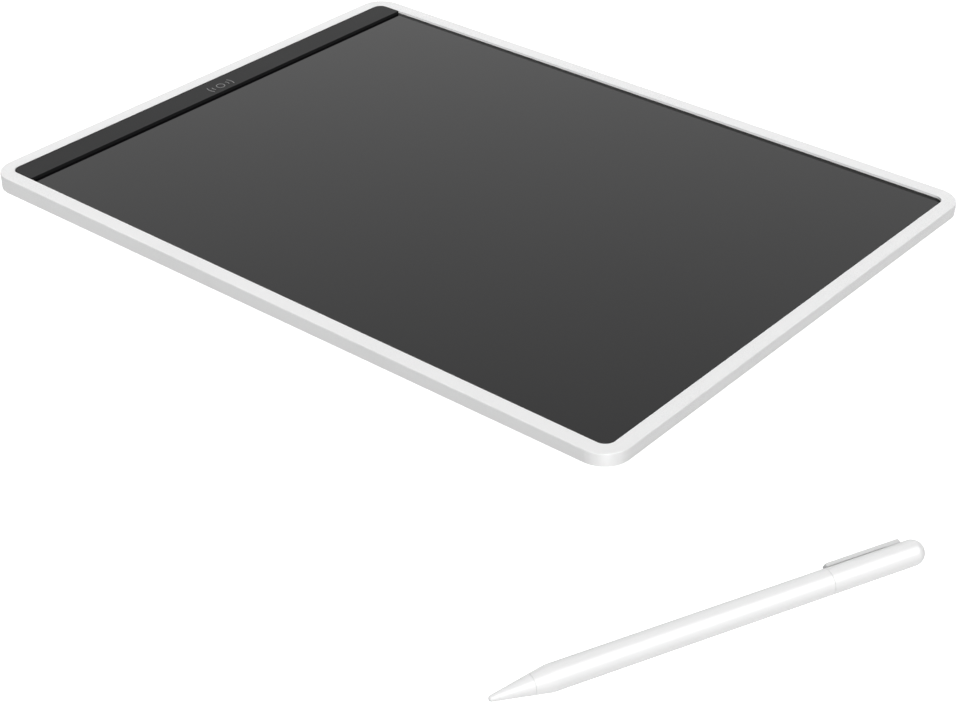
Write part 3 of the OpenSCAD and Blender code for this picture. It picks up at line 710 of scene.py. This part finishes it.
def limit_reach(lamp, state, *nodes):
    """Lets a lamp reach these CAD parts alone (INCLUDE), or all parts but these (EXCLUDE)."""
    flagged = bpy.data.collections.new("reach of " + lamp.name)
    for node in nodes:
        flagged.objects.link(frame["nodes"][node])
    for member in flagged.collection_objects:
        member.light_linking.link_state = state
    lamp.light_linking.receiver_collection = flagged


def from_angles(heading, height):
    """The direction of a heading, turned left from +X, and a height above the floor."""
    level = math.cos(height)
    return (math.cos(heading) * level, math.sin(heading) * level, math.sin(height))


def rays_of(paint, *kinds):
    """1 for rays of these kinds, else 0."""
    rays = [paint.add("LightPath", None, None, kind) for kind in kinds]
    return functools.reduce(operator.or_, rays)


class SLATE_OT_set_stage(bpy.types.Operator):
    """Set up the camera, the lamps, the pale surroundings and the floor"""

    bl_idname = "slate.set_stage"
    bl_label = "Set Stage"

    def execute(self, context):
        stage = context.scene.slate_stage
        self.set_camera(context.scene, stage)
        self.set_lamps(stage)
        self.set_world(context.scene, stage)
        self.lay_floor(stage)
        context.scene.view_settings.view_transform = "Standard"
        return {"FINISHED"}

    def set_camera(self, scene, stage):
        data = bpy.data.cameras.new("camera")
        data.sensor_fit = "HORIZONTAL"
        data.sensor_width = SENSOR_WIDTH
        data.lens = stage.lens
        data.clip_start = NEAREST_SEEN
        data.clip_end = FARTHEST_SEEN
        camera = bpy.data.objects.new("camera", data)
        camera.location = stage.camera_place
        camera.rotation_euler = Euler(stage.camera_turn, "XYZ")
        scene.collection.objects.link(camera)
        scene.camera = camera

    def set_lamps(self, stage):
        """Key, fill, under and side lamps light the parts, and the last three show in gloss alone."""
        ahead = stage.key_heading
        behind = ahead + math.pi
        soft = stage.key_softness
        key = from_angles(ahead, stage.key_height)
        add_lamp("key lamp", key, stage.key_strength, soft, in_gloss=False)
        fill = from_angles(behind, FILL_HEIGHT)
        add_lamp("fill lamp", fill, stage.fill_strength, FILL_SOFTNESS, in_gloss=False)
        add_lamp("under lamp", (0, 0, -1), stage.under_strength, UNDER_SOFTNESS, in_gloss=False)
        for side, heading in SIDE_HEADINGS.items():
            low = from_angles(heading, SIDE_HEIGHT)
            add_lamp(side + " lamp", low, stage.side_strength, SIDE_SOFTNESS, in_gloss=False)
        backdrop = from_angles(behind, BACKDROP_HEIGHT)
        add_lamp("backdrop gloss", backdrop, stage.backdrop_strength, BACKDROP_SOFTNESS, in_diffuse=False)
        gleam = from_angles(ahead + GLEAM_TURN, GLEAM_HEIGHT)
        gleam_gloss = add_lamp("gleam gloss", gleam, stage.gleam_strength, soft, in_diffuse=False)
        limit_reach(gleam_gloss, "EXCLUDE", *FLAT_PARTS)
        corner = from_angles(ahead + CORNER_TURN, CORNER_HEIGHT)
        strength = stage.corner_strength
        corner_gloss = add_lamp("corner gloss", corner, strength, CORNER_SOFTNESS, in_diffuse=False)
        limit_reach(corner_gloss, "INCLUDE", "front_frame")

    def set_world(self, scene, stage):
        """White where it is seen or mirrored, and a faint light from all round elsewhere."""
        world = bpy.data.worlds.new("studio")
        world.use_nodes = True
        scene.world = world
        paint = Paint(world.node_tree)
        white = paint.add("Background", None, {"Color": WHITE, "Strength": 1.0})
        soft = paint.add("Background", None, {"Color": WHITE, "Strength": stage.ambient})
        seen = rays_of(paint, "Is Camera Ray", "Is Glossy Ray", "Is Transmission Ray")
        shown = paint.add("MixShader", None, {0: seen, 1: soft, 2: white})
        paint.add("OutputWorld", None, {"Surface": shown})

    def lay_floor(self, stage):
        bpy.ops.object.select_all(action="DESELECT")
        bpy.ops.mesh.primitive_plane_add(size=stage.floor_span, location=(0, 0, -FLOOR_DROP))
        bpy.ops.object.transform_apply(location=True, rotation=True, scale=True)
        floor = bpy.context.object
        floor.name = "floor"
        floor.data.materials.append(self.floor_finish(stage))

    def floor_finish(self, stage):
        """White where it is lit, grey in the shadow, white in gloss, and see-through from below."""
        material, paint = new_finish("studio floor")
        lit = paint.add("BsdfDiffuse", None, {"Color": tinted(WHITE, FLOOR_GREY)})
        glow = paint.add("Emission", None, {"Color": WHITE, "Strength": FLOOR_GLOW})
        shown = paint.add("AddShader", None, {0: lit, 1: glow})
        white = paint.add("Emission", None, {"Color": WHITE, "Strength": 1.0})
        dull = paint.add("BsdfDiffuse", None, {"Color": tinted(WHITE, stage.floor_bounce)})
        mirrored = rays_of(paint, "Is Glossy Ray", "Is Transmission Ray")
        hidden = paint.add("MixShader", None, {0: mirrored, 1: dull, 2: white})
        top = paint.add("MixShader", None, {0: rays_of(paint, "Is Camera Ray"), 1: hidden, 2: shown})
        through = paint.add("BsdfTransparent")
        below = paint.add("NewGeometry", None, None, "Backfacing")
        clear = below | rays_of(paint, "Is Shadow Ray")
        surface = paint.add("MixShader", None, {0: clear, 1: top, 2: through})
        paint.add("OutputMaterial", None, {"Surface": surface})
        material.cycles.emission_sampling = "NONE"
        return material


# Panel and registration

OPERATORS = (
    SLATE_OT_finish_mouldings,
    SLATE_OT_finish_screen,
    SLATE_OT_finish_board,
    SLATE_OT_finish_metals,
    SLATE_OT_finish_stylus,
    SLATE_OT_print_mark,
    SLATE_OT_set_stage,
)
GROUPS = {"slate_finishes": SlateFinishes, "slate_mark": PressMark, "slate_stage": StudioStage}


class SLATE_PT_looks(bpy.types.Panel):
    """Lists the steps that finish the slate, and what they can be given"""

    bl_label = "Writing Slate"
    bl_idname = "SLATE_PT_looks"
    bl_space_type = "VIEW_3D"
    bl_region_type = "UI"
    bl_category = "Slate"

    def draw(self, context):
        for step in OPERATORS:
            self.layout.operator(step.bl_idname)
        for holder, group in GROUPS.items():
            box = self.layout.box()
            for name in group.__annotations__:
                box.prop(getattr(context.scene, holder), name)


CLASSES = (*GROUPS.values(), *OPERATORS, SLATE_PT_looks)


def register():
    for entry in CLASSES:
        bpy.utils.register_class(entry)
    for holder, group in GROUPS.items():
        setattr(bpy.types.Scene, holder, PointerProperty(type=group))


def unregister():
    for holder in GROUPS:
        delattr(bpy.types.Scene, holder)
    for entry in reversed(CLASSES):
        bpy.utils.unregister_class(entry)


def main():
    register()
    bpy.ops.slate.set_stage()
    bpy.ops.slate.finish_mouldings()
    bpy.ops.slate.finish_screen()
    bpy.ops.slate.finish_board()
    bpy.ops.slate.finish_metals()
    bpy.ops.slate.finish_stylus()
    bpy.ops.slate.print_mark()


if __name__ == "__main__":
    main()
